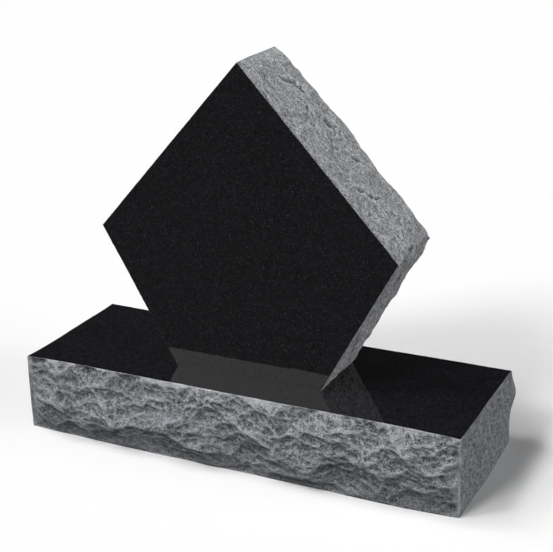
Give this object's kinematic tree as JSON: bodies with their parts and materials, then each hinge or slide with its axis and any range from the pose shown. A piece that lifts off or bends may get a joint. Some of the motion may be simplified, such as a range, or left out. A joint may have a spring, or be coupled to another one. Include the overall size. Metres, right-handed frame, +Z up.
{
  "type": "granite memorial headstone",
  "caption": "Upright diamond-shaped granite tablet with polished faces and rock-pitched edges, standing on a long rectangular rock-pitched base with a polished top.",
  "frame": {"origin": "middle of the base's flat underside", "axes": "+X along the base's length, -Y the way the tablet's polished face looks, +Z up"},
  "size_m": [0.9259, 0.3754, 0.7666],
  "materials": {
    "base_granite": "polished top, rock-pitched sides",
    "tablet_granite": "polished front and back, rock-pitched edges"
  },
  "bodies": {
    "root": {"base": "base_granite", "tablet": "tablet_granite"}
  },
  "joints": []
}
